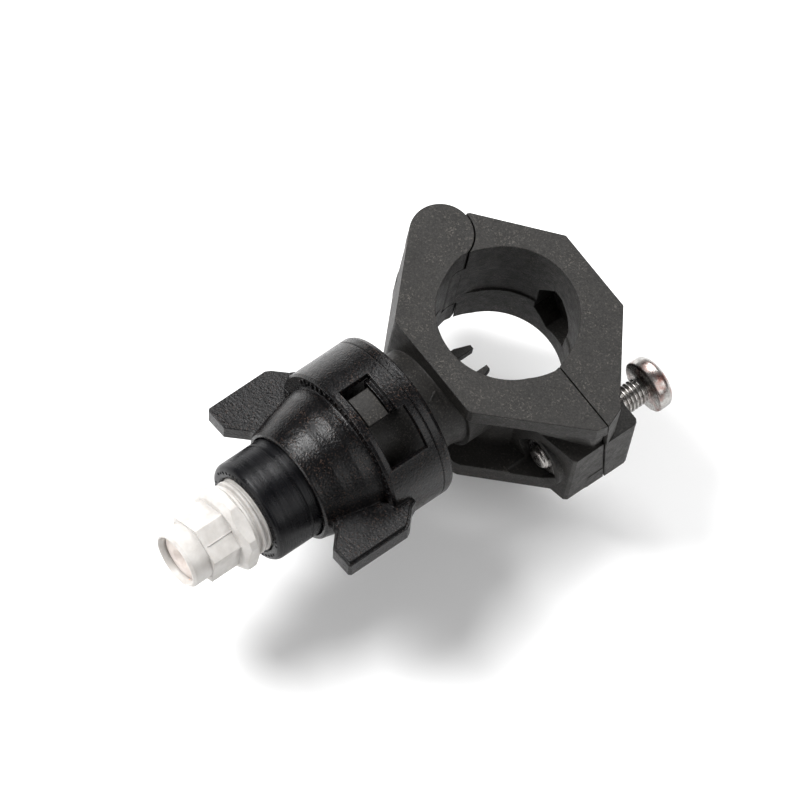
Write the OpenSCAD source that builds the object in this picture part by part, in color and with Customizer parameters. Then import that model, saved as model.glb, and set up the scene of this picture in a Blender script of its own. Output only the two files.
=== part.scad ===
// Quick-connect spray nozzle holder with a hinged pipe clamp.
// Frame: origin on the pipe axis at mid depth, Z along the pipe with the front face at +Z,
// X from the hinge (-X) to the screw ear (+X), the nozzle points along -Y. Millimetres.

/* [Pipe clamp] */
// Radius of the clamped pipe
pipe_r = 12.7; // [12.4:0.1:12.9]
// Depth of the clamp along the pipe
depth = 27; // [26.5:0.1:28]
// Thickness of the front flange
front_t = 3.8; // [3:0.1:4.5]
// Thickness of the back flange
back_t = 4.2; // [3.4:0.1:4.6]
// Depth of the relief round the bore at mid depth
relief = 0.3; // [0.2:0.05:0.4]
// Height of the split line above the pipe axis
split_y = 0.9; // [0.7:0.05:1.1]
// Gap left between body and strap at the split
split_gap = 0.24; // [0.15:0.01:0.3]
// Slope of the split face from front to back, in degrees
split_tilt = 7.5; // [4:0.5:8]

/* [Hinge] */
// Radius of the body knuckles
knuckle_r = 5.7; // [5.6:0.05:5.8]
// Radius of the hinge pin
pin_r = 1.6; // [1.3:0.05:1.9]

/* [Screw] */
// Radius of the clamp screw
screw_r = 2.5; // [2.2:0.05:2.6]
// Radius of the pan head
head_r = 5; // [4.4:0.1:5.2]
// Height of the underside of the head
head_y = 17.7; // [17.4:0.1:18.5]
// Height of the pan head
head_h = 3.9; // [3.4:0.1:4.2]

/* [Cap] */
// Outer radius of the cap skirt
cap_r = 15.8; // [15.6:0.05:16.2]
// Reach of the wings from the axis
wing_x = 20; // [19:0.1:21]
// Thickness of the wings
wing_t = 3.6; // [2.8:0.1:3.8]

/* [Outlet] */
// Outer radius of the adapter
adapter_r = 9.7; // [9.4:0.05:9.75]
// Radius of the nozzle thread
thread_r = 7.1; // [6.8:0.05:7.15]
// Radius of the nozzle tip
tip_r = 5.5; // [5.2:0.05:5.8]

/* [Hidden] */
$fn = 96;
zf = depth / 2;
zb = -depth / 2;
zff = zf - front_t;
zbf = zb + back_t;
hinge = [-18.7, -0.2];
tongue_z0 = -7.4;
tongue_z1 = 6.7;
slot_z0 = tongue_z0 - 0.3;
slot_z1 = tongue_z1 + 0.3;
arc_r = 5.95;
wall_r = pipe_r + 1.9;
ear_top_z = 2.6;
screw_x = 19.2;
screw_z = -5.6;
nut_y0 = -4.6;
nut_y1 = -0.6;
nut_af = 8;
collar_r = 9.6;
barrel_y = -33.8;
lug_r = 14.3;
lug_a = 89;
skirt_in_r = 14.62;
cap_back_y = -22.4;
cap_front_y = -35.6;
cone_in_r = 9.95;
flow_r = 4.2;
spigot_r = 3.2;
bore_in_r = 12.55;
c_body = "#2b2c2e";
c_cap = "#303134";
c_metal = "#b9bbb8";
c_rubber = "#1b1b1b";
c_nozzle = "#3a3b3d";

// A cylinder about the Y axis from y0 up to y1
module ycyl(r, y0, y1) {
  translate([0, y0, 0]) rotate([-90, 0, 0]) cylinder(h = y1 - y0, r = r);
}

// A tapered cylinder about the Y axis, radius ra at y0 and rb at y1
module ycone(ra, rb, y0, y1) {
  translate([0, y0, 0]) rotate([-90, 0, 0]) cylinder(h = y1 - y0, r1 = ra, r2 = rb);
}

// A profile of [radius, y] points turned about the Y axis
module yturn(pts) {
  rotate([-90, 0, 0]) rotate_extrude() polygon(pts);
}

// A flat outline in X and Y from height z0 to z1
module slab(z0, z1) {
  translate([0, 0, z0]) linear_extrude(z1 - z0) children();
}

// A ring sector about the Y axis; the angle is measured from +X towards +Z
module sector(r0, r1, y0, y1, a0, a1) {
  translate([0, y0, 0]) rotate([-90, 0, 0]) rotate([0, 0, -a1])
    rotate_extrude(angle = a1 - a0) translate([r0, 0]) square([r1 - r0, y1 - y0]);
}

// Clamp bore: the pipe circle with side relief near the split, and a shallow middle band
module bore_cut() {
  translate([0, 0, zb - 1]) cylinder(h = depth + 2, r = pipe_r);
  translate([0, 0, -4.5]) cylinder(h = 9, r = pipe_r + relief);
  intersection() {
    translate([0, 1.73, zb - 1]) cylinder(h = depth + 2, r = pipe_r + 0.75);
    translate([0, -1.73, zb - 1]) cylinder(h = depth + 2, r = pipe_r + 0.75);
  }
}

// Half space on one side of the tilted split face, on the screw side only
module split_side(gap, side) {
  translate([4, split_y + gap, zf]) rotate([split_tilt, 0, 0])
    translate([0, side * 40 - 40, -60]) cube([60, 40, 120]);
}

module body_outline() {
  polygon([[-22.75, -4.15], [-10.3, -17.1], [-9.8, -17.2], [10.6, -17.2], [11.5, -16.7],
    [24.3, -3.5], [26.6, -1], [27, split_y], [27, 6], [4, 6], [4, split_y], [-14, split_y],
    [-18.7, 3]]);
}

module back_outline() {
  polygon([[-22.3, -4.3], [-10.1, -16.6], [-9.4, -16.8], [10.2, -16.8], [11.2, -16.3],
    [23.8, -3.5], [25.8, -1.2], [26.2, split_y], [26.2, 6], [4, 6], [4, split_y],
    [-14, split_y], [-18.7, 3]]);
}

// Hex prism about the Y axis across the flats
module yhex(af, y0, y1) {
  translate([0, y0, 0]) rotate([-90, 0, 0]) cylinder(h = y1 - y0, r = af / sqrt(3), $fn = 6);
}

module body_ear() {
  slab(zb, ear_top_z)
    polygon([[11, 6], [11, -7], [18.2, -5.5], [25.6, -4], [26.1, -3.4], [26.1, 6]]);
  translate([screw_x, 0, screw_z]) ycyl(5.6, -5.5, -3);
  hull() {
    slab(ear_top_z - 0.2, ear_top_z)
      polygon([[12.5, 6], [12.5, -7], [18.2, -5.5], [25.4, 0.4], [25.4, 6]]);
    slab(zff - 0.1, zff + 0.1)
      polygon([[12.5, 6], [14.5, -9.2], [19.2, -8.4], [25.4, -1.6], [26.3, 0.9], [26.3, 6]]);
  }
}

module clamp_body() {
  color(c_body) difference() {
    union() {
      slab(zff, zf) body_outline();
      slab(zb, zbf) back_outline();
      // Solid left side between the flanges
      slab(zb + 1, zf - 1) intersection() {
        body_outline();
        translate([-30, -30]) square([30, 31 + split_y]);
      }
      // Wall round the pipe
      intersection() {
        slab(zb, zf) circle(r = wall_r);
        union() {
          translate([-20, -40, zb]) cube([60, 40 + split_y, depth]);
          translate([4, -40, zb]) cube([60, 46, depth]);
        }
      }
      body_ear();
      // Front and back knuckles
      translate([hinge[0], hinge[1], slot_z1]) cylinder(h = zf - slot_z1, r = knuckle_r);
      translate([hinge[0], hinge[1], zb]) cylinder(h = slot_z0 - zb, r = knuckle_r);
      // Hub, collar and barrel
      ycyl(11, -15.3, -10);
      ycyl(collar_r, barrel_y, -14);
      ycone(collar_r, collar_r + 0.5, -17.4, -15.3);
      // Bayonet lugs
      sector(collar_r - 1, lug_r, -33.3, -29, lug_a - 12, lug_a + 12);
      sector(collar_r - 1, lug_r, -33.3, -29, lug_a + 168, lug_a + 192);
      // Index mark on the collar
      translate([0, -19, 0]) rotate([0, 25, 0]) translate([0, 0, collar_r - 0.3])
        linear_extrude(0.5) difference() {
          polygon([[-1.2, 1], [1.2, 1], [0, -1.2]]);
          polygon([[-0.7, 0.7], [0.7, 0.7], [0, -0.6]]);
        }
    }
    bore_cut();
    split_side(0, 1);
    // Room for the strap tongue and its swing
    translate([hinge[0], hinge[1], slot_z0]) cylinder(h = slot_z1 - slot_z0, r = arc_r);
    slab(slot_z0, slot_z1) polygon([hinge, [-26, 0], [-26, 6], [-12, 6], [-12.4, -0.2]]);
    // Everything above the knuckle line between the flanges belongs to the strap
    slab(slot_z1 - 0.1, zf + 1) difference() {
      translate([-24, split_y]) square([12, 8]);
      translate(hinge) circle(r = knuckle_r);
    }
    slab(zb - 1, slot_z0 + 0.1) difference() {
      translate([-24, split_y]) square([12, 8]);
      translate(hinge) circle(r = knuckle_r);
    }
    // Pin hole, blind at the front
    translate([hinge[0], hinge[1], zb - 1]) cylinder(h = zf - 2.3 - zb + 1, r = pin_r + 0.03);
    // Screw hole and nut pocket
    translate([screw_x, 0, screw_z]) ycyl(screw_r + 0.25, -10, 8);
    translate([screw_x, 0, screw_z]) yhex(nut_af + 0.2, -10, nut_y1 + 0.1);
    // Waterway and spigot seat
    ycyl(flow_r, barrel_y - 1, -19.2);
    ycyl(4.75, -19.3, -17.4);
    ycyl(spigot_r + 0.06, -18, -9);
    ycyl(6.2, -14.4, -9);
  }
}

module strap_outline() {
  polygon([[-20.2, 3.5], [-19, 6.3], [-5.9, 17.4], [10.4, 17.4], [23.9, 6.1], [25.6, 5],
    [27.1, split_y + split_gap], [-12, split_y + split_gap], [-13.4, 1.5]]);
}

module clamp_strap() {
  y0 = split_y + split_gap;
  color(c_body) difference() {
    union() {
      difference() {
        slab(zb, zf) strap_outline();
        // Step behind the front wall where the screw ear lies
        translate([13.6, 10, zb - 1]) cube([20, 20, ear_top_z - zb + 1]);
        translate([26.3, -1, zb - 1]) cube([6, 20, ear_top_z - zb + 1]);
      }
      // Screw ear
      slab(zb, ear_top_z)
        polygon([[11, y0], [26.3, y0], [26.3, 9], [26.1, 9.6], [25.5, 10], [11, 10]]);
    }
    bore_cut();
    split_side(split_gap, 0);
    // Clear the body knuckles in front of and behind the tongue
    translate([hinge[0], hinge[1], tongue_z1]) cylinder(h = zf, r = arc_r);
    translate([hinge[0], hinge[1], zb - 1]) cylinder(h = tongue_z0 - zb + 1, r = arc_r);
    // Moulding pocket in the crown, open to the bore
    translate([0, 16.2, 0]) rotate([90, 0, 0]) linear_extrude(6.2)
      polygon([[-4.4, 0], [-0.9, 4.5], [0.5, 3.5], [3.1, 0.7], [4.2, -2], [4, -8.7],
        [-1.1, -10.3], [-4.4, -6.5]]);
    // Screw slot, widened outward for the swing
    translate([screw_x, 0, screw_z]) hull() {
      ycyl(screw_r + 0.3, y0 - 1, 11);
      translate([2.1, 0, 0]) ycyl(screw_r + 0.3, y0 - 1, 11);
    }
    translate([hinge[0], hinge[1], zb - 1]) cylinder(h = depth + 2, r = pin_r + 0.05);
    // Corner by the bore clears the body knuckle
    slab(tongue_z0 - 20, tongue_z0) translate([-24, -6]) square([10.8, 7.5]);
    slab(tongue_z1, zf + 1) translate([-24, -6]) square([10.8, 7.5]);
  }
  color(c_body) strap_tongue();
}

module strap_tongue() {
  difference() {
    slab(tongue_z0, tongue_z1) union() {
      translate(hinge) circle(r = 5.6);
      polygon([[-22.3, 4.1], [-19, 6.3], [-12, 10], [-12, 2], [-13.2, 1], hinge]);
    }
    bore_cut();
    translate([hinge[0], hinge[1], zb - 1]) cylinder(h = depth + 2, r = pin_r + 0.05);
  }
}

module hinge_pin() {
  color(c_metal) translate([hinge[0], hinge[1], 0]) {
    translate([0, 0, zb + 0.3]) cylinder(h = zf - 2.4 - zb - 0.9, r = pin_r);
    translate([0, 0, zf - 3.1]) cylinder(h = 0.6, r1 = pin_r, r2 = pin_r - 0.4);
  }
}

module clamp_screw() {
  color(c_metal) translate([screw_x, 0, screw_z]) difference() {
    yturn([[0, -6], [1.7, -6], [2.1, -5.8], [screw_r, -5.2], [screw_r, head_y], [head_r - 0.15, head_y],
      [head_r, head_y + 0.2], [head_r, head_y + 2.4], [head_r - 0.35, head_y + 3.1],
      [head_r - 1.2, head_y + 3.6], [head_r - 2.4, head_y + head_h - 0.1], [0, head_y + head_h]]);
    for (a = [0, 90]) rotate([0, a, 0])
      translate([-2.3, head_y + 1.6, -0.45]) cube([4.6, head_h, 0.9]);
    ycone(0.6, 1.5, head_y + 1.4, head_y + head_h + 0.2);
  }
}

module clamp_nut() {
  color(c_metal) translate([screw_x, 0, screw_z]) difference() {
    intersection() {
      yhex(nut_af, nut_y0, nut_y1);
      yturn([[0, nut_y0], [3.9, nut_y0], [4.7, nut_y0 + 0.5], [4.7, nut_y1 - 0.5],
        [3.9, nut_y1], [0, nut_y1]]);
    }
    ycyl(screw_r + 0.05, nut_y0 - 1, nut_y1 + 1);
  }
}

module inlet_spigot() {
  color(c_body) difference() {
    yturn([[1.9, -19.1], [4.6, -19.1], [4.6, -17.5], [spigot_r, -17.5], [spigot_r, -8.4],
      [3.9, -8.1], [3.9, -7.4], [2.9, -4.5], [1.9, -4.5]]);
    // Cuts that leave two slim hooked prongs
    translate([-1.9, -12.2, -6]) cube([3.8, 10, 12]);
    for (z = [-6, 1]) translate([-6, -10.4, z]) cube([12, 10, 5]);
  }
}

module inlet_seal() {
  color(c_rubber) difference() {
    ycyl(6.1, -14.3, -10);
    ycyl(spigot_r + 0.05, -15, -9);
    translate([0, 0, -8]) cylinder(h = 16, r = pipe_r + relief);
  }
}

module spigot_oring() {
  color(c_rubber) rotate([90, 0, 0]) translate([0, 0, 20]) rotate_extrude()
    translate([3.3, 0]) circle(r = 0.8, $fn = 32);
}

// Wing outline in X and Y
module wing_2d() {
  polygon([[10.6, -45.3], [12, -45.7], [15.3, -48.9], [wing_x - 0.4, -48.9], [wing_x, -48.5],
    [wing_x, -36.2], [wing_x - 0.5, -35.3], [17.2, -33], [16.5, -31.6], [15.3, -31.6],
    [14.9, -35.1], [12.9, -36.2], [10.6, -38.4]]);
}

module wings() {
  for (a = [0, 180]) rotate([0, a - 9, 0]) {
    slab(-wing_t / 2, wing_t / 2) offset(delta = -0.5) wing_2d();
    slab(-wing_t / 2, wing_t / 2 - 0.6) wing_2d();
  }
}

module bayonet_cap() {
  color(c_cap) difference() {
    union() {
      yturn([[skirt_in_r, cap_back_y], [cap_r - 0.9, cap_back_y], [cap_r - 0.25, cap_back_y - 0.3],
        [cap_r, cap_back_y - 0.9], [cap_r, -24.6], [cap_r - 0.25, -24.75], [cap_r, -24.9],
        [cap_r, cap_front_y + 0.5], [cap_r - 0.4, cap_front_y], [13.3, cap_front_y],
        [13.2, -36], [12.9, -38.4], [12.4, -40.3], [12, -42.3], [11.45, -44], [11, -45.7],
        [10.85, -46.5], [10.5, -46.8], [cone_in_r, -46.8], [cone_in_r, -37.7],
        [bore_in_r, -37.7], [bore_in_r, -34.4], [skirt_in_r, -34.4]]);
      wings();
      // Locking tabs behind the bayonet lugs
      for (a = [0, 180])
        sector(collar_r + 0.4, skirt_in_r + 0.1, -28.7, -24.8, lug_a + a - 11, lug_a + a + 18);
    }
    ycyl(cone_in_r, -50, -30);
    ycyl(bore_in_r, -37.7, -30);
    ycyl(skirt_in_r - 0.01, -34.4, -29.5);
    for (a = [0, 180]) {
      sector(skirt_in_r - 0.2, cap_r + 2, -34.1, -27.8, a + 75.5, a + 107);
      sector(skirt_in_r - 0.2, cap_r + 2, -34.1, -26.2, a + 44, a + 76);
    }
  }
}

module cap_seal() {
  color(c_rubber) difference() {
    ycyl(9.4, -35.1, -33.85);
    ycyl(5, -36, -33);
  }
}

module outlet_adapter() {
  color(c_cap) yturn([[flow_r, -35.2], [12.3, -35.2], [12.3, -37.5], [adapter_r, -37.5],
    [adapter_r, -41.2], [adapter_r - 1.3, -41.2], [adapter_r - 1.3, -43], [adapter_r, -43],
    [adapter_r, -48.6], [adapter_r - 0.2, -48.7], [adapter_r - 0.2, -49], [adapter_r, -49.1],
    [adapter_r, -54.9], [adapter_r - 0.12, -55.35], [adapter_r - 0.4, -55.75],
    [adapter_r - 0.9, -56], [thread_r + 0.5, -56.05], [thread_r + 0.15, -55.7],
    [thread_r + 0.15, -45.8], [flow_r, -45.8]]);
}

module adapter_oring() {
  color(c_rubber) rotate([90, 0, 0]) translate([0, 0, 42.1]) rotate_extrude()
    translate([adapter_r - 0.55, 0]) circle(r = 0.72, $fn = 32);
}

module nozzle_body() {
  color(c_nozzle) difference() {
    union() {
      yturn([[0, -47.7], [thread_r - 0.6, -47.7], [thread_r, -48.4], [thread_r, -54.8],
        [thread_r - 0.7, -55.1], [thread_r - 0.7, -59.1], [0, -59.1]]);
      intersection() {
        rotate([0, -34, 0]) yhex(15.2, -62, -58.8);
        yturn([[0, -58.9], [7.6, -58.9], [8.3, -59.4], [8.3, -60.8], [7, -61.8], [0, -61.8]]);
      }
      rotate([0, -34, 0]) yhex(11.4, -67.6, -61.7);
      yturn([[0, -67], [tip_r, -67], [tip_r, -71], [tip_r - 0.4, -71.5], [0, -71.5]]);
      // Mould parting ridges
      for (a = [0, 180]) rotate([0, a - 64, 0])
        translate([5.3, -67, -0.1]) cube([0.52, 5.2, 0.2]);
    }
    ycyl(5.4, -56, -40);
    ycyl(3.2, -69.3, -50);
    ycyl(4.5, -72, -69.2);
    ycone(4.9, 4.5, -71.6, -70.6);
  }
}

module nozzle_seal() {
  color(c_rubber) difference() {
    ycyl(6.6, -47.6, -45.9);
    ycyl(4.3, -48, -45);
  }
}

// Swirl core: a flanged plug with slanted slots
module nozzle_core() {
  color(c_nozzle) difference() {
    union() {
      ycyl(5.3, -55.9, -53.4);
      ycyl(3.1, -66, -55);
    }
    ycyl(1.6, -63, -50);
    for (a = [0:90:270]) rotate([0, a, 0]) translate([2.4, -66.5, 0]) rotate([24, 0, 0])
      translate([-0.5, -2, -0.5]) cube([2, 4.6, 1]);
  }
}

module orifice_insert() {
  color(c_metal) yturn([[0.8, -67.4], [3.1, -67.4], [3.1, -69.25], [4.4, -69.25], [4.4, -70.2],
    [3.3, -70.5], [1.9, -70.5], [0.7, -69.6], [0.7, -68.6]]);
}

clamp_body();
clamp_strap();
hinge_pin();
clamp_screw();
clamp_nut();
inlet_spigot();
inlet_seal();
spigot_oring();
bayonet_cap();
cap_seal();
outlet_adapter();
adapter_oring();
nozzle_body();
nozzle_seal();
nozzle_core();
orifice_insert();
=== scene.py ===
import math

import bmesh
import bpy
from mathutils import Matrix, Vector


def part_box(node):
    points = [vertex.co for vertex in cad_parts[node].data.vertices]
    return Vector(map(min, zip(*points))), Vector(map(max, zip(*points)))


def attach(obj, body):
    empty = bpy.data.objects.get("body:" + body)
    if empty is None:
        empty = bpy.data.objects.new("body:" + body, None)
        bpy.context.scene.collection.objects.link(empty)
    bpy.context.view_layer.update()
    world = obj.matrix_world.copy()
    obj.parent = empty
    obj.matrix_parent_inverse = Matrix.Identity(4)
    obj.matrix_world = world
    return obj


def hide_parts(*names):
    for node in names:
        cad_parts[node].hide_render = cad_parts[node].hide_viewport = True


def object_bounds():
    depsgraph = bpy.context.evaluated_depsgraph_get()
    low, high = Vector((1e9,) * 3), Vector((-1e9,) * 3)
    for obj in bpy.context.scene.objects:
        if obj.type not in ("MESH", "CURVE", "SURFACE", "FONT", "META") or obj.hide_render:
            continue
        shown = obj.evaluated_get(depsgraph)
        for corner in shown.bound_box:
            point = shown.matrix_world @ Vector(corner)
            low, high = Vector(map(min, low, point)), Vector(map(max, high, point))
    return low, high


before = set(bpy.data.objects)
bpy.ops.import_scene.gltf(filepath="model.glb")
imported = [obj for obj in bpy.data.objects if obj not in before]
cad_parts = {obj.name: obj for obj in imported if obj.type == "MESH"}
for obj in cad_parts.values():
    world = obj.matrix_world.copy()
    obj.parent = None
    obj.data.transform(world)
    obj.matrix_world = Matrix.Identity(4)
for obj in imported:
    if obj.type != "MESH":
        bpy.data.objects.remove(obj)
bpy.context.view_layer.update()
MM = 0.001
BLACK, WHITE = (0.0,) * 3, (1.0,) * 3


# ---------------------------------------------------------------- materials
def tree(name):
    """Empty node material: the material, its tree, its shader and the object coordinates."""
    m = bpy.data.materials.new(name)
    m.use_nodes = True
    nt = m.node_tree
    nt.nodes.clear()
    out = nt.nodes.new("ShaderNodeOutputMaterial")
    bsdf = nt.nodes.new("ShaderNodeBsdfPrincipled")
    nt.links.new(bsdf.outputs["BSDF"], out.inputs["Surface"])
    coord = nt.nodes.new("ShaderNodeTexCoord")
    return m, nt, bsdf, coord.outputs["Object"]


def noise(nt, vec, scale, detail=3.0, rough=0.55, stretch=None):
    if stretch:
        mp = nt.nodes.new("ShaderNodeMapping")
        mp.inputs["Scale"].default_value = stretch
        nt.links.new(vec, mp.inputs["Vector"])
        vec = mp.outputs["Vector"]
    n = nt.nodes.new("ShaderNodeTexNoise")
    n.inputs["Scale"].default_value = scale
    n.inputs["Detail"].default_value = detail
    n.inputs["Roughness"].default_value = rough
    nt.links.new(vec, n.inputs["Vector"])
    return n.outputs["Fac"]


def ramp(nt, fac, stops):
    """Grey ramp; stops are (position, grey)."""
    r = nt.nodes.new("ShaderNodeValToRGB")
    e = r.color_ramp.elements
    while len(e) < len(stops):
        e.new(0.5)
    for el, (position, c) in zip(e, stops):
        el.position = position
        el.color = (c, c, c, 1)
    nt.links.new(fac, r.inputs["Fac"])
    return r.outputs["Color"]


def mix(nt, fac, a, b):
    """Colour mix; each argument is a socket or a constant set on the mix node's own socket."""
    m = nt.nodes.new("ShaderNodeMix")
    m.data_type = "RGBA"
    for socket, value in (("Factor", fac), ("A", a), ("B", b)):
        i = [s for s in m.inputs if s.name == socket and s.enabled][0]
        if hasattr(value, "is_output"):
            nt.links.new(value, i)
        else:
            i.default_value = (*value, 1) if hasattr(value, "__len__") else value
    return [o for o in m.outputs if o.enabled][0]


def bump(nt, height, distance, strength=1.0, normal=None):
    b = nt.nodes.new("ShaderNodeBump")
    b.inputs["Strength"].default_value = strength
    b.inputs["Distance"].default_value = distance
    nt.links.new(height, b.inputs["Height"])
    if normal:
        nt.links.new(normal, b.inputs["Normal"])
    return b.outputs["Normal"]


def rounded(nt, radius):
    """Normal that reads as an edge rounded to the radius."""
    b = nt.nodes.new("ShaderNodeBevel")
    b.samples = 6
    b.inputs["Radius"].default_value = radius
    return b.outputs["Normal"]


def moulded(name, dark, light, dust, rough, grain, grain_scale, edge, dust_amount, spec):
    """Moulded plastic: slow tone drift, fine flecks, dust in patches, and a matt eroded grain."""
    m, nt, b, vec = tree(name)
    slow = ramp(nt, noise(nt, vec, 160, 4), [(0.35, 0.0), (0.68, 1.0)])
    drift = mix(nt, slow, BLACK, WHITE)
    grains = ramp(nt, noise(nt, vec, 3000, 3, 0.7), [(0.38, 0.0), (0.62, 1.0)])
    tone = mix(nt, mix(nt, 0.7, drift, grains), dark, light)
    fleck = ramp(nt, noise(nt, vec, 2700, 2, 0.75), [(0.56, 0.0), (0.66, 1.0)])
    patch = ramp(nt, noise(nt, vec, 210, 5, 0.7), [(0.44, 0.0), (0.66, 1.0)])
    amount = nt.nodes.new("ShaderNodeMath")
    amount.operation = "MULTIPLY"
    nt.links.new(fleck, amount.inputs[0])
    nt.links.new(mix(nt, patch, (0.25,) * 3, WHITE), amount.inputs[1])
    scaled = nt.nodes.new("ShaderNodeMath")
    scaled.operation = "MULTIPLY"
    nt.links.new(amount.outputs[0], scaled.inputs[0])
    scaled.inputs[1].default_value = dust_amount
    col = mix(nt, scaled.outputs[0], tone, dust)
    nt.links.new(col, b.inputs["Base Color"])
    nt.links.new(
        ramp(nt, noise(nt, vec, 700, 4), [(0.3, rough - 0.07), (0.7, rough + 0.09)]),
        b.inputs["Roughness"],
    )
    b.inputs["Specular IOR Level"].default_value = spec
    n = bump(nt, noise(nt, vec, grain_scale, 3, 0.65), grain, 1.0, rounded(nt, edge))
    n = bump(nt, noise(nt, vec, 420, 3), 0.00004, 1.0, n)
    nt.links.new(n, b.inputs["Normal"])
    return m


def turned(name, dark, light, dust, rough):
    """Moulded plastic with fine circumferential lines left by the mould insert, about the Y axis."""
    m, nt, b, vec = tree(name)
    lines = noise(nt, vec, 1.0, 2, 0.6, stretch=(60, 5200, 60))
    tone = mix(nt, ramp(nt, lines, [(0.4, 0.0), (0.62, 1.0)]), dark, light)
    fleck = ramp(nt, noise(nt, vec, 6000, 2, 0.6), [(0.63, 0.0), (0.72, 0.5)])
    nt.links.new(mix(nt, fleck, tone, dust), b.inputs["Base Color"])
    nt.links.new(
        ramp(nt, noise(nt, vec, 500, 4), [(0.3, rough - 0.05), (0.7, rough + 0.08)]),
        b.inputs["Roughness"],
    )
    b.inputs["Specular IOR Level"].default_value = 0.24
    n = bump(nt, lines, 0.00009, 1.0, rounded(nt, 0.00022))
    nt.links.new(bump(nt, noise(nt, vec, 5000, 2), 0.000012, 1.0, n), b.inputs["Normal"])
    return m


def white_plastic(name, base, shade):
    """Pale, slightly translucent plastic with grey specks."""
    m, nt, b, vec = tree(name)
    tone = mix(nt, ramp(nt, noise(nt, vec, 420, 5), [(0.35, 0.0), (0.7, 1.0)]), base, shade)
    speck = ramp(nt, noise(nt, vec, 3200, 3), [(0.66, 0.0), (0.76, 0.45)])
    nt.links.new(mix(nt, speck, tone, (0.42, 0.38, 0.36)), b.inputs["Base Color"])
    nt.links.new(ramp(nt, noise(nt, vec, 900, 3), [(0.3, 0.38), (0.7, 0.52)]), b.inputs["Roughness"])
    b.inputs["Subsurface Weight"].default_value = 0.12
    b.inputs["Subsurface Radius"].default_value = (0.0012, 0.001, 0.0008)
    b.inputs["Subsurface Scale"].default_value = 0.6
    n = bump(nt, noise(nt, vec, 1800, 3), 0.00002, 1.0, rounded(nt, 0.0002))
    nt.links.new(n, b.inputs["Normal"])
    return m


def steel(name, stain):
    """Plated steel; stain is how strongly the brown-red spots show."""
    m, nt, b, vec = tree(name)
    fine = noise(nt, vec, 900, 5, 0.7)
    worn = ramp(nt, fine, [(0.35, 0.0), (0.65, 1.0)])
    tone = mix(nt, worn, (0.27, 0.26, 0.25), (0.5, 0.49, 0.475))
    spot = ramp(nt, noise(nt, vec, 330, 5, 0.7), [(0.46, 0.0), (0.66, stain)])
    nt.links.new(mix(nt, spot, tone, (0.24, 0.115, 0.095)), b.inputs["Base Color"])
    b.inputs["Metallic"].default_value = 1.0
    nt.links.new(ramp(nt, noise(nt, vec, 1500, 4), [(0.3, 0.2), (0.7, 0.38)]), b.inputs["Roughness"])
    n = bump(nt, noise(nt, vec, 2600, 4), 0.00002, 1.0, rounded(nt, 0.00015))
    nt.links.new(n, b.inputs["Normal"])
    return m


def rubber(name):
    """Matt black rubber."""
    m, nt, b, vec = tree(name)
    worn = ramp(nt, noise(nt, vec, 600, 4), [(0.3, 0.0), (0.7, 1.0)])
    nt.links.new(mix(nt, worn, (0.012,) * 3, (0.03,) * 3), b.inputs["Base Color"])
    nt.links.new(ramp(nt, noise(nt, vec, 900, 3), [(0.3, 0.55), (0.7, 0.75)]), b.inputs["Roughness"])
    nt.links.new(bump(nt, noise(nt, vec, 3000, 3), 0.00002), b.inputs["Normal"])
    return m


M_BODY = moulded(
    "body_plastic",
    dark=(0.012, 0.0112, 0.0104), light=(0.029, 0.027, 0.0248), dust=(0.17, 0.155, 0.135),
    rough=0.5, grain=0.09 * MM, grain_scale=2800, edge=0.3 * MM, dust_amount=0.5, spec=0.36,
)
M_CAP = moulded(
    "cap_plastic",
    dark=(0.0014, 0.0014, 0.0018), light=(0.004, 0.004, 0.0048), dust=(0.075, 0.048, 0.036),
    rough=0.22, grain=0.09 * MM, grain_scale=2200, edge=0.28 * MM, dust_amount=0.85, spec=0.32,
)
M_TURNED = turned(
    "adapter_plastic",
    dark=(0.0012, 0.0014, 0.0022), light=(0.005, 0.0052, 0.0068), dust=(0.06, 0.04, 0.034),
    rough=0.27,
)
M_WHITE = white_plastic("nozzle_plastic", (0.59, 0.572, 0.552), (0.48, 0.46, 0.438))
M_PINK = white_plastic("insert_plastic", (0.6, 0.54, 0.5), (0.5, 0.44, 0.41))
M_STEEL = steel("plated_steel", 0.12)
M_HEAD = steel("stained_steel", 0.85)
M_RUBBER = rubber("seal_rubber")

LOOK = {
    "clamp_body": M_BODY, "clamp_strap": M_BODY, "inlet_spigot": M_BODY,
    "bayonet_cap": M_CAP, "outlet_adapter": M_TURNED,
    "nozzle_body": M_WHITE, "nozzle_core": M_WHITE, "orifice_insert": M_PINK,
    "hinge_pin": M_STEEL, "clamp_nut": M_STEEL,
    "inlet_seal": M_RUBBER, "spigot_oring": M_RUBBER, "cap_seal": M_RUBBER,
    "adapter_oring": M_RUBBER, "nozzle_seal": M_RUBBER,
}
for node, look in LOOK.items():
    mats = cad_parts[node].data.materials
    mats.clear()
    mats.append(look)


# ---------------------------------------------------------------- new pieces
def placed(name, bm, look, body):
    """Turns a bmesh into an object with a material and a body to ride."""
    bmesh.ops.recalc_face_normals(bm, faces=bm.faces)
    me = bpy.data.meshes.new(name)
    bm.to_mesh(me)
    bm.free()
    me.materials.append(look)
    ob = bpy.data.objects.new(name, me)
    bpy.context.scene.collection.objects.link(ob)
    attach(ob, body)
    return ob


def smooth_piece(name, verts, faces, look, body):
    bm = bmesh.new()
    made = [bm.verts.new(co) for co in verts]
    for face in faces:
        bm.faces.new([made[k] for k in face])
    ob = placed(name, bm, look, body)
    for p in ob.data.polygons:
        p.use_smooth = True
    return ob


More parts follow.
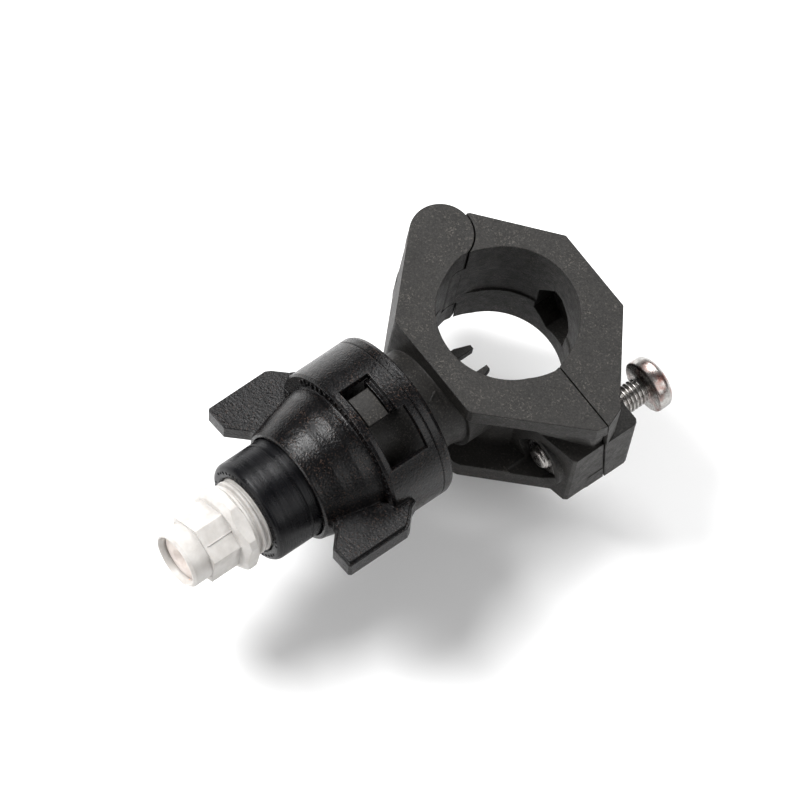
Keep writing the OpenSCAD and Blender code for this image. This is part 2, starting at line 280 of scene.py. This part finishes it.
def grid_about_y(rows, seg, cx, cz, radius):
    """Open tube through rows of y values; radius(y, angle) gives its surface."""
    v, f = [], []
    for y in rows:
        for k in range(seg):
            a = 2 * math.pi * k / seg
            r = radius(y, a)
            v.append((cx + r * math.cos(a), y, cz + r * math.sin(a)))
    for i in range(len(rows) - 1):
        for k in range(seg):
            a, b = i * seg + k, i * seg + (k + 1) % seg
            f.append((a, b, b + seg, a + seg))
    return v, f


def thread_radius(core, crest, pitch, y0, y1, fade):
    """Radius of a right-hand helical thread that fades out at both ends."""
    def radius(y, a):
        t = ((y - y0) / pitch - a / (2 * math.pi)) % 1.0
        d = abs(t - 0.5) * 2
        h = min(1.0, max(0.0, (0.9 - d) / 0.62))
        h = h * h * (3 - 2 * h)
        end = min(1.0, (y - y0) / fade, (y1 - y) / fade)
        return core + (crest - core) * h * max(0.0, end)
    return radius


# Clamp screw: rolled helical thread, pan head with a cross recess
lo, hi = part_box("clamp_screw")
SX, SZ = (lo.x + hi.x) / 2, (lo.z + hi.z) / 2
tip_y, top_y = lo.y, hi.y
HEAD_H = 3.9 * MM
TIP = 0.3 * MM
ROW = 0.064 * MM
CROSS_DEPTH = 1.5 * MM
under_y = top_y - HEAD_H
seg = 96
rad = thread_radius(2.06 * MM, 2.48 * MM, 0.8 * MM, tip_y + TIP, under_y - 0.05 * MM, 0.7 * MM)
rows = [tip_y + TIP + i * ROW for i in range(int((under_y - tip_y - TIP) / ROW))]
v, f = grid_about_y(rows, seg, SX, SZ, rad)


def ring(y, r, shape=None):
    """Adds a ring of points to the screw; shape(x, z) lifts or sinks each one."""
    base = len(v)
    for k in range(seg):
        a = 2 * math.pi * k / seg
        dy = shape(r * math.cos(a), r * math.sin(a)) if shape else 0.0
        v.append((SX + r * math.cos(a), y + dy, SZ + r * math.sin(a)))
    return base


def join(a, b):
    """Skins two rings of the screw."""
    for k in range(seg):
        n = (k + 1) % seg
        f.append((a + k, a + n, b + n, b + k))


def inside(distance, limit, soft):
    """1 inside the limit and 0 outside it, with a soft edge."""
    return 1 / (1 + math.exp((distance - limit * MM) / (soft * MM)))


def recess(x, z):
    """Depth of the cross recess below the head's crown."""
    r = math.hypot(x, z)
    arms = inside(min(abs(x), abs(z)), 0.42, 0.05) * inside(r, 2.35, 0.06)
    middle = inside(r, 0.95, 0.1)
    return -CROSS_DEPTH * max(arms * (1 - 0.35 * r / (2.4 * MM)), middle)


def fan(start, y):
    """Closes a ring of the screw with a point on its axis."""
    c = len(v)
    v.append((SX, y, SZ))
    for k in range(seg):
        f.append((start + k, start + (k + 1) % seg, c))


last = len(v) - seg
prev = 0
for dy, r in ((0.05, 1.75), (0, 1.55), (0, 0.6)):
    cur = ring(tip_y + dy * MM, r * MM)
    join(prev, cur)
    prev = cur
fan(prev, tip_y)

# Pan head: height above its seat and radius in mm, out and over to the crown
head = [
    (0, 2.3), (0, 4.55), (0.06, 4.8), (0.2, 4.94), (0.45, 5.0), (1.3, 5.0), (2.1, 4.98),
    (2.5, 4.88), (2.85, 4.66), (3.15, 4.3), (3.4, 3.8), (3.58, 3.3), (3.68, 2.95),
]
prev = last
for dy, r in head:
    cur = ring(under_y + dy * MM, r * MM)
    join(prev, cur)
    prev = cur
CROWN_RINGS = 24
for i in range(CROWN_RINGS):
    r = 2.85 * (1 - i / CROWN_RINGS) + 0.04
    cur = ring(under_y + (3.9 - 0.026 * r * r) * MM, r * MM, recess)
    join(prev, cur)
    prev = cur
fan(prev, top_y - CROSS_DEPTH)
screw = smooth_piece("clamp_screw_threaded", v, f, M_STEEL, "screw")
screw.data.materials.append(M_HEAD)
for p in screw.data.polygons:
    if p.center.y > under_y - 0.2 * MM:
        p.material_index = 1
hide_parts("clamp_screw")

# Nozzle thread: the turns that show between the adapter's mouth and the hex flange
y0, y1 = -59.0 * MM, -53.5 * MM
ROW = 0.07 * MM
FADE = 0.4 * MM
rows = [y0 + i * ROW for i in range(int((y1 - y0) / ROW) + 1)]
rad = thread_radius(6.42 * MM, 7.12 * MM, 1.34 * MM, y0 - FADE, y1, FADE)
v, f = grid_about_y(rows, 128, 0, 0, rad)
smooth_piece("nozzle_thread_turns", v, f, M_WHITE, "nozzle")


# Raised marks: plain bars in two arcs where the real parts carry moulded characters
def two_arcs(start, step, count):
    """Angles of the marks on one arc and on the arc opposite it."""
    return [side + start + step * i for side in (0, 180) for i in range(count)]


def bars(name, y, r_mid, height, deep, wide, angles, look, body):
    """Bars of uneven width round the Y axis, standing out of a face toward -Y."""
    bm = bmesh.new()
    for i, a in enumerate(angles):
        a = math.radians(a)
        half_w = wide * (0.5, 1.0, 0.62, 0.8, 0.4)[i % 5] / 2
        half_r = deep * (1.0, 0.62, 0.9, 1.0, 0.7, 0.85, 0.5)[i % 7] / 2
        c, s = math.cos(a), math.sin(a)
        corners = []
        for dy, k in ((0.06 * MM, 1.0), (-height * 0.6, 0.92), (-height, 0.72)):
            corners.append([
                bm.verts.new((
                    (r_mid + dr * half_r * k) * c - dw * half_w * k * s,
                    y + dy,
                    (r_mid + dr * half_r * k) * s + dw * half_w * k * c,
                ))
                for dr, dw in ((-1, -1), (1, -1), (1, 1), (-1, 1))
            ])
        for lo_ring, hi_ring in zip(corners, corners[1:]):
            for k in range(4):
                bm.faces.new((lo_ring[k], lo_ring[(k + 1) % 4], hi_ring[(k + 1) % 4], hi_ring[k]))
        bm.faces.new(corners[-1])
        bm.faces.new(corners[0][::-1])
    return placed(name, bm, look, body)


bars("cap_face_bars", y=-35.6 * MM, r_mid=14.45 * MM, height=0.22 * MM, deep=1.5 * MM,
     wide=0.62 * MM, angles=two_arcs(28, 5.4, 23), look=M_CAP, body="cap")
bars("adapter_face_bars", y=-56.02 * MM, r_mid=8.45 * MM, height=0.1 * MM, deep=0.62 * MM,
     wide=0.4 * MM, angles=two_arcs(10, 8.2, 20), look=M_TURNED, body="adapter")

# ---------------------------------------------------------------- stage, light, camera
FLOOR_GAP = 12 * MM
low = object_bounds()[0].z
bpy.ops.mesh.primitive_plane_add(size=6, location=(0, 0, low - FLOOR_GAP))
floor = bpy.context.object
floor.name = "floor"
fm, fnt, fb, fvec = tree("floor_paper")
paper = ramp(fnt, noise(fnt, fvec, 8, 3), [(0.3, 0.0), (0.7, 1.0)])
fnt.links.new(mix(fnt, paper, (0.93,) * 3, (0.95,) * 3), fb.inputs["Base Color"])
fb.inputs["Roughness"].default_value = 0.9
fb.inputs["Specular IOR Level"].default_value = 0.1
floor.data.materials.append(fm)


def area(name, loc, target, size, power):
    """Round soft light at loc, aimed at the target."""
    d = bpy.data.lights.new(name, "AREA")
    d.shape = "DISK"
    d.size = size
    d.energy = power
    o = bpy.data.objects.new(name, d)
    bpy.context.scene.collection.objects.link(o)
    o.location = loc
    o.rotation_euler = (Vector(target) - Vector(loc)).to_track_quat("-Z", "Y").to_euler()


# Camera frame: right, up and back at the photo's azimuth, elevation and roll
az, el, roll = (math.radians(x) for x in (38.83, 64.82, 14.68))
back = Vector((math.sin(az) * math.cos(el), -math.cos(az) * math.cos(el), math.sin(el)))
right = Vector((math.cos(az), math.sin(az), 0))
up = back.cross(right)
right_r = math.cos(roll) * right + math.sin(roll) * up
up_r = -math.sin(roll) * right + math.cos(roll) * up

centre = Vector((0.002, -0.025, 0))
area("key", centre + 0.55 * back - 0.35 * right_r + 0.42 * up_r, centre, 0.34, 6.6)
area("fill", centre + 0.5 * back + 0.55 * right_r - 0.1 * up_r, centre, 0.7, 2.6)
area("rim", centre + 0.15 * back + 0.15 * right_r + 0.6 * up_r, centre, 0.4, 3.2)
area("front", centre + Vector((-0.12, -0.62, 0.1)), centre, 0.3, 1.6)
world = bpy.data.worlds.new("soft_room")
bpy.context.scene.world = world
world.use_nodes = True
room = world.node_tree.nodes["Background"]
room.inputs["Color"].default_value = (1, 1, 1, 1)
room.inputs["Strength"].default_value = 0.24

cam_data = bpy.data.cameras.new("photo_view")
cam_data.sensor_width = 36
cam_data.lens = 900
cam_data.clip_start = 0.1
cam_data.clip_end = 20
cam = bpy.data.objects.new("photo_view", cam_data)
bpy.context.scene.collection.objects.link(cam)
cam.matrix_world = Matrix((
    (right_r.x, up_r.x, back.x, 0.92453),
    (right_r.y, up_r.y, back.y, -1.17154),
    (right_r.z, up_r.z, back.z, 3.14234),
    (0, 0, 0, 1),
))
bpy.context.scene.camera = cam
bpy.context.scene.view_settings.view_transform = "Standard"
# Darkens the dark plastics in the render only, not in the materials
bpy.context.scene.view_settings.gamma = 0.88
